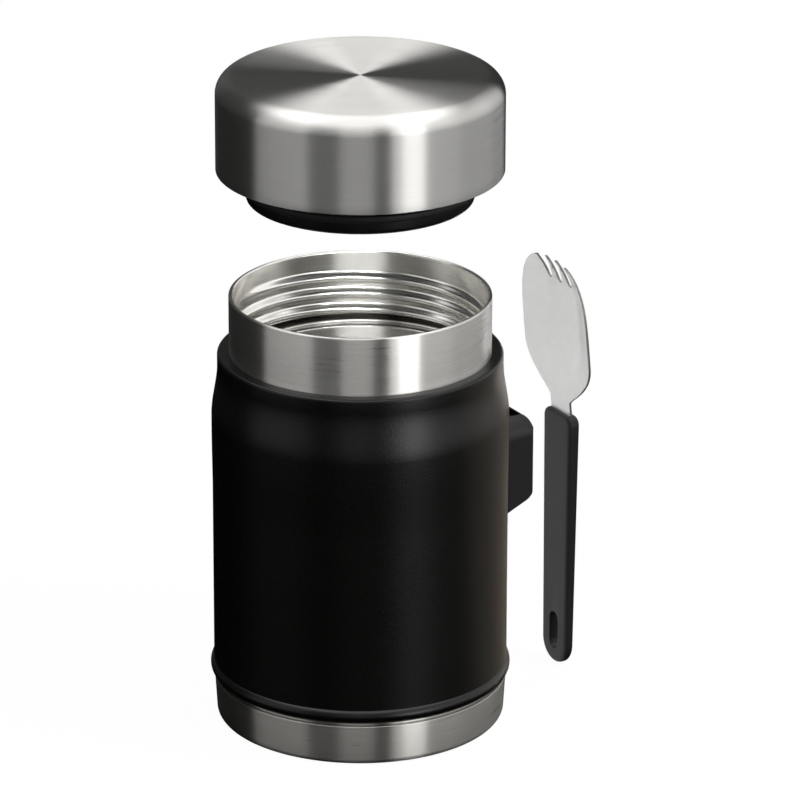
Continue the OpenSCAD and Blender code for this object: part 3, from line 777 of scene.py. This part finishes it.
sleeveBox = nodeBox("spork_holder")
sleeve = {
    "round": 4.0,  # depth and height of the soft top edges, and radius of the lower outer edge
    "roundPower": 1.6,
    "corner": 0.7,  # upright corners, and the least that pulling in leaves of them
    "leastCorner": 0.4,
    "slope": 24.5,  # degrees, how the underside climbs, from this height at the jar
    "low": 61.0,
    "side": 3.8,  # walls of the slot at the sides and in front
    "front": 1.7,
    "slotThick": 5.4,
    "slotRound": 1.4,
    "edge": 0.5,  # rounding of the slot's mouth and of the lower edge
    "lowEdge": 0.3,
}
mountR = bodyR + shell["swell"] + weld
sleeveX, sleeveY, sleeveTop = sleeveBox[1][0], sleeveBox[1][1], sleeveBox[1][2]


# a plan's near side, round corner, outer face, round corner and far side, without the stretch by the jar
def planFront(start, x, w, radius):
    t = np.linspace(0, 1, 13)[:-1]
    side = start + (x - radius - start) * t
    face = radius - w + 2 * (w - radius) * t[1:]
    return [np.c_[side, -w + 0 * side], arcPoints(x - radius, radius - w, radius, -90, 0, 8),
            np.c_[x + 0 * face, face], arcPoints(x - radius, w - radius, radius, 0, 90, 8),
            np.c_[side, w + 0 * side][::-1]]


# plan of the sleeve's outside, pulled in by inset, closed by the curve that lies on the jar
def sleevePlan(inset):
    x, w = sleeveX - inset, sleeveY - inset
    y = w * np.cos(np.linspace(0, np.pi, 33))[1:-1]
    corner = max(sleeve["corner"] - inset, sleeve["leastCorner"])
    front = planFront(math.sqrt(mountR ** 2 - w ** 2), x, w, corner)
    return np.vstack(front + [np.c_[np.sqrt(mountR ** 2 - y ** 2), y]])


# plan of the slot, widened by extra, with as many points on each stretch as the outside has
def slotPlan(extra=0.0):
    s = sleeve
    x1 = sleeveX - s["front"] + extra
    x0 = sleeveX - s["front"] - s["slotThick"] - extra
    w, radius = sleeveY - s["side"] + extra, s["slotRound"] + extra
    y = np.linspace(w - radius, radius - w, 13)[1:-1]
    return np.vstack(planFront(x0 + radius, x1, w, radius) + [
        arcPoints(x0 + radius, w - radius, radius, 90, 180, 10)[1:], np.c_[x0 + 0 * y, y],
        arcPoints(x0 + radius, radius - w, radius, 180, 270, 10)[:-1]])


# the top falls towards the outside: by round * (1 - sqrt(1 - q^2)) at the outer face and round * q ^ power
# at the sides, where q goes from 0 at a depth of round to 1 at the edge. The two join as the cube root of
# the sum of their cubes.
def sleeveTopHeight(plan):
    s = sleeve
    x = np.clip(1 - (sleeveX - plan[:, 0]) / s["round"], 0, 1)
    y = np.clip(1 - (sleeveY - np.abs(plan[:, 1])) / s["round"], 0, 1)
    fall = ((1 - np.sqrt(1 - x ** 2)) ** 3 + y ** (3 * s["roundPower"])) ** (1 / 3)
    return sleeveTop - s["round"] * np.minimum(fall, 1)


# the underside climbs at the slope, and ends in an arc that touches it and the outer face
def sleeveLowHeight(plan):
    s = sleeve
    slope = math.radians(s["slope"])
    x = plan[:, 0]
    centreX = sleeveX - s["round"]
    centreZ = s["low"] + (centreX - bodyR) * math.tan(slope) + s["round"] / math.cos(slope)
    line = s["low"] + (x - bodyR) * math.tan(slope)
    arc = centreZ - np.sqrt(np.maximum(s["round"] ** 2 - (x - centreX) ** 2, 0))
    return np.where(x > centreX + s["round"] * math.sin(slope), arc, line)


# a closed grid: up the outside, over the top, down the slot and out along the underside
def sleevePoints():
    e, lowEdge = sleeve["edge"], sleeve["lowEdge"]
    outer, inner, mouth, low = sleevePlan(0), slotPlan(), slotPlan(e), sleevePlan(lowEdge)
    bottom, top = sleeveLowHeight(outer) + lowEdge, sleeveTopHeight(outer)
    rows = [np.c_[outer, bottom + (top - bottom) * t] for t in np.linspace(0, 1, 9)]
    for t in np.linspace(0, 1, 16)[1:]:
        plan = outer + (mouth - outer) * t
        rows.append(np.c_[plan, sleeveTopHeight(plan)])
    for t in np.radians([30, 60, 90]):
        plan = mouth + (inner - mouth) * math.sin(t)
        rows.append(np.c_[plan, sleeveTopHeight(plan) - e * (1 - math.cos(t))])
    for t in np.linspace(0, 1, 12):
        plan = inner + (low - inner) * t
        rows.append(np.c_[plan, sleeveLowHeight(plan)])
    return np.stack(rows)


gridPiece("sporkSleeve", sleevePoints(), body="jar", node="spork_holder", slot="moulded_black",
          material=sleevePlastic)
print("sleeve made")


# spork

handleBox, headBox = nodeBox("spork_handle"), nodeBox("spork_head")
handle = {
    "endThick": 3.2,  # thickness and width at the low end
    "endWidth": 14.5,
    "corner": 3.0,  # upper corners, and the least that pulling in leaves of them
    "leastCorner": 0.3,
    "edge": 1.2,
    "hangWidth": 5.0,  # hanging slot, and how far its middle is over the low end
    "hangHeight": 12.8,
    "hangUp": 11.1,
    "hangEdge": 0.12,
}
handleX, handleLow, handleTop = handleBox[0][0], handleBox[0][2], handleBox[1][2]
handleThick, handleHalf = handleBox[1][0] - handleBox[0][0], handleBox[1][1]


# outline (y, z) pulled in by inset: half round end, sides that part slowly, and a top with round corners
def handleOutline(inset):
    h = handle
    end = h["endWidth"] / 2
    corner = max(h["corner"] - inset, h["leastCorner"])
    top, w = handleTop - inset, handleHalf - inset
    t = np.linspace(0, 1, 25)[1:-1, None]
    across = np.linspace(0, 1, 13)[1:-1, None]
    bottom = arcPoints(0, handleLow + end, end - inset, 180, 360, 40)
    right = arcPoints(w - corner, top - corner, corner, 0, 90, 8)
    left = arcPoints(corner - w, top - corner, corner, 90, 180, 8)
    return np.vstack([bottom, bottom[-1] + (right[0] - bottom[-1]) * t, right,
                      right[-1] + (left[0] - right[-1]) * across, left,
                      left[-1] + (bottom[0] - left[-1]) * t])


# the hanging slot's outline, widened by extra: where the ray from its middle to each point of the handle's
# outline leaves a straight slot with round ends
def hangOutline(extra):
    h = handle
    centre = np.array([0, handleLow + h["hangUp"]])
    a = h["hangWidth"] / 2 + extra
    b = (h["hangHeight"] - h["hangWidth"]) / 2
    ray = handleOutline(0) - centre
    ray /= np.hypot(*ray.T)[:, None]
    c, s = np.abs(ray.T)
    toSide = a / np.maximum(c, 1e-6)
    toEnd = s * b + np.sqrt(np.maximum(a * a - b * b * c * c, 0))
    return centre + ray * np.where(toSide * s <= b, toSide, toEnd)[:, None]


# a closed grid round the thickness: inner face, rounded edge, side, rounded edge, outer face, hanging slot
def handlePoints():
    edge, hangEdge, thin = handle["edge"], handle["hangEdge"], handle["endThick"]
    quarter = np.radians(np.linspace(0, 90, 7))
    wide, narrow = hangOutline(hangEdge), handleOutline(edge)
    run = [(hangOutline(hangEdge * (1 - math.sin(t))), hangEdge * (1 - math.cos(t))) for t in quarter[::-1]]
    run += [(wide + (narrow - wide) * t, 0) for t in np.linspace(0, 1, 6)[1:-1]]
    run += [(handleOutline(edge * (1 - math.sin(t))), edge * (1 - math.cos(t))) for t in quarter]
    inner = [np.c_[handleX + depth + 0 * outline[:, 0], outline] for outline, depth in run]
    outer = []
    for outline, depth in run[::-1]:
        rise = (outline[:, 1] - handleLow) / (handleTop - handleLow)
        outer.append(np.c_[handleX + thin + (handleThick - thin) * rise - depth, outline])
    return np.stack(inner + outer)


sporkHandle = gridPiece("sporkHandle", handlePoints(), body="spork", node="spork_handle",
                        slot="moulded_grey", material=handlePlastic)

head = {
    "length": 53.0,
    "thick": 1.0,
    "edge": 0.32,
    "tangHalf": 5.0,  # half width of the tang in the handle, and how deep it goes
    "tangDeep": 5,
    "neckWidth": 11.4,
    "neckLength": 4.5,
    "blend": 16,  # height over which the neck widens to the bowl, and how soon it does
    "blendPower": 0.62,
    "outlinePower": 4.2,  # outline of the bowl, up to the tip
    "outlineRoot": 0.4,
    "deep": 4.2,  # depth of the bowl, and the share of its half width that its sides take
    "sideShare": 0.58,
    "sidePower": 1.3,
    "deepStart": 0.08,  # shares of the length: where the bowl starts to sink, for how long, and where
    "deepRun": 0.4,  # it starts to rise again
    "deepEnd": 0.5,
    "tipLean": 5,
    "slots": (-5.8, 0, 5.8),
    "slotLength": 8,
    "slotRoot": 1.2,  # half widths of a slot at its root and its mouth
    "slotMouth": 2.6,
    "crown": 0.5,  # how much lower a middle tine's corners are than its tip
    "sideNormal": 0.55,  # faces whose normal has less than this along X are the sheared sides
    "columns": 32,
    "lowRows": 64,
    "tineRows": 30,
}
headWidth = headBox[1][1] * 2
headX = handleX + handleThick / 2 - head["thick"] / 2
slotTop = head["length"] - head["slotLength"]  # height of the slots' round roots' middle
slotLow = slotTop - head["slotRoot"]


# half width at a height over the handle: an eased blend from the neck that widens soon, and then
# W/2 (1 - t ^ power) ^ root up to the tip
def headHalf(h):
    p = head
    low = p["neckLength"] + p["blend"]
    widen = ease(np.clip((h - p["neckLength"]) / p["blend"], 0, 1) ** p["blendPower"])
    blend = (p["neckWidth"] + (headWidth - p["neckWidth"]) * widen) / 2
    t = np.clip((h - low) / (p["length"] - low), 0, 1)
    bowl = headWidth / 2 * (1 - t ** p["outlinePower"]) ** p["outlineRoot"]
    return np.where(h < 0, p["tangHalf"], np.where(h < low, blend, bowl))


# how far out the sheet lies: it leans in towards the tip, and the bowl sinks by its depth within sloping
# sides, eased along its length and back up as 1 - t ^ 4
def headFace(h, u):
    p = head
    t = np.clip(h / p["length"], 0, 1)
    side = 1 - (1 - np.clip((1 - np.abs(u)) / p["sideShare"], 0, 1)) ** p["sidePower"]
    rise = np.clip((t - p["deepEnd"]) / (1 - p["deepEnd"]), 0, 1)
    length = ease((t - p["deepStart"]) / p["deepRun"]) * (1 - rise ** 4)
    return -p["tipLean"] * t + p["deep"] * length * side


# y of a tine slot's edge at a height: its middle, then a round root, then a straight edge to the open mouth.
# Below the root it is a fixed share of the half width, so that neighbouring tines share it.
def slotEdge(h, middle, sign):
    p = head
    below = middle / float(headHalf(np.array(slotLow))) * headHalf(h)
    circle = np.sqrt(np.clip(p["slotRoot"] ** 2 - (slotTop - h) ** 2, 0, None))
    straight = p["slotRoot"] + (p["slotMouth"] - p["slotRoot"]) * (h - slotTop) / p["slotLength"]
    return np.where(h < slotLow, below, middle + sign * np.where(h < slotTop, circle, straight))


# one tine and the strip of the head under it: two sheets of points across between its edges and up to where
# the outline cuts it. At a distance d from an edge each sheet draws in by r - sqrt(r^2 - (r - d)^2).
def tineSheets(left, right):
    p = head
    c = (1 - np.cos(np.linspace(0, np.pi, p["columns"])))[None, :] / 2

    def edges(h):
        return (-headHalf(h) if left is None else slotEdge(h, left, 1),
                headHalf(h) if right is None else slotEdge(h, right, -1))

    scan = np.linspace(slotLow + 2, p["length"] - 0.01, 2000)
    a, b = edges(scan)
    tip = scan[(b - a > 0.02) & (np.maximum(np.abs(a), np.abs(b)) <= headHalf(scan) + 1e-6)].max()
    low = np.r_[-p["tangDeep"], -0.01, slotLow * np.sin(np.linspace(0, 1, p["lowRows"]) * np.pi / 2)]
    crown = 0 if left is None or right is None else p["crown"] * (2 * c - 1) ** 2
    w = np.sin(np.linspace(0, 1, p["tineRows"])[1:, None] * np.pi / 2)
    high = slotLow + 0.01 + (tip - crown - slotLow - 0.01) * w
    h = np.vstack([low[:, None] + 0 * c, high + 0 * c])
    a, b = edges(h)
    y = a + (b - a) * c
    toLeft = np.where((left is None) | (h > slotLow), y - a, np.inf)
    toRight = np.where((right is None) | (h > slotLow), b - y, np.inf)
    toEdge = np.clip(np.minimum(np.minimum(toLeft, toRight), tip - crown - h), 0, p["edge"])
    drawn = p["edge"] - np.sqrt(p["edge"] ** 2 - (p["edge"] - toEdge) ** 2)
    x = headX + headFace(h, np.clip(y / np.maximum(headHalf(h), 0.01), -1, 1))
    return [np.stack([side, y, handleTop + h], -1) for side in (x + drawn, x + p["thick"] - drawn)]


# joins the sheets of the four strips: their faces, and the narrow sides where an edge is open
def headMesh():
    p = head
    rows, columns = 2 + p["lowRows"] + p["tineRows"] - 1, p["columns"]
    rootRow = p["lowRows"] + 1
    index = np.arange(rows * columns).reshape(rows, columns)
    points, quads = [], []
    slots = p["slots"]
    for left, right in zip((None, *slots), (*slots, None)):
        front = index + sum(len(part) for part in points)
        back = front + rows * columns
        points += [sheetPoints.reshape(-1, 3) for sheetPoints in tineSheets(left, right)]
        for k, grid in enumerate((front, back)):
            face = np.stack([grid[:-1, :-1], grid[1:, :-1], grid[1:, 1:], grid[:-1, 1:]], -1)
            face = face.reshape(-1, 4)
            quads.append(face[:, ::-1] if k else face)
        fromLeft, fromRight = (0 if side is None else rootRow for side in (left, right))
        runs = [(front[fromLeft:, 0], back[fromLeft:, 0]), (front[-1], back[-1]),
                (front[fromRight:, -1][::-1], back[fromRight:, -1][::-1]), (front[0][::-1], back[0][::-1])]
        quads += [np.stack([f[:-1], b[:-1], b[1:], f[1:]], -1) for f, b in runs]
    return np.vstack(points), np.vstack(quads)


headPoints, headQuads = headMesh()
headUv = headPoints[headQuads][..., 1:] * mm
sporkHead = makePiece("sporkHead", headPoints, headQuads, headUv, body="spork", node="spork_head",
                      slot="satin_steel", material=sporkSteel, sharp=50)

# the narrow sides of the sheet, where the normal is far from the X axis, are the sheared edges: rougher, and
# with painted shade in their darker colour
sporkHead.data.materials.append(shearedShadedSteel)
faces = sporkHead.data.polygons
normals = np.empty(len(faces) * 3, dtype=np.float32)
faces.foreach_get("normal", normals)
faces.foreach_set("material_index", (np.abs(normals[::3]) < head["sideNormal"]).astype(np.int32))
makeLamp("sporkCard", (-180, 213, -15), (74, 0, 100), 1400, 5.4, pieces=[sporkHead, sporkHandle])
print("spork made")


# inner pieces keep their CAD shapes
innerFinishes = {
    "holder_bracket": plainSteel, "holder_screws": plainSteel, "foil_wrap": copperFoil,
    "getter_pellet": sinteredMetal, "vacuum_bottom": plainSteel, "seal_off_plug": sinteredMetal,
    "lid_foam": foamCream, "lid_inner_plate": sleevePlastic}
for node, material in innerFinishes.items():
    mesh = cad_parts[node].data
    mesh.materials.clear()
    mesh.materials.append(material)

print("pieces finished")
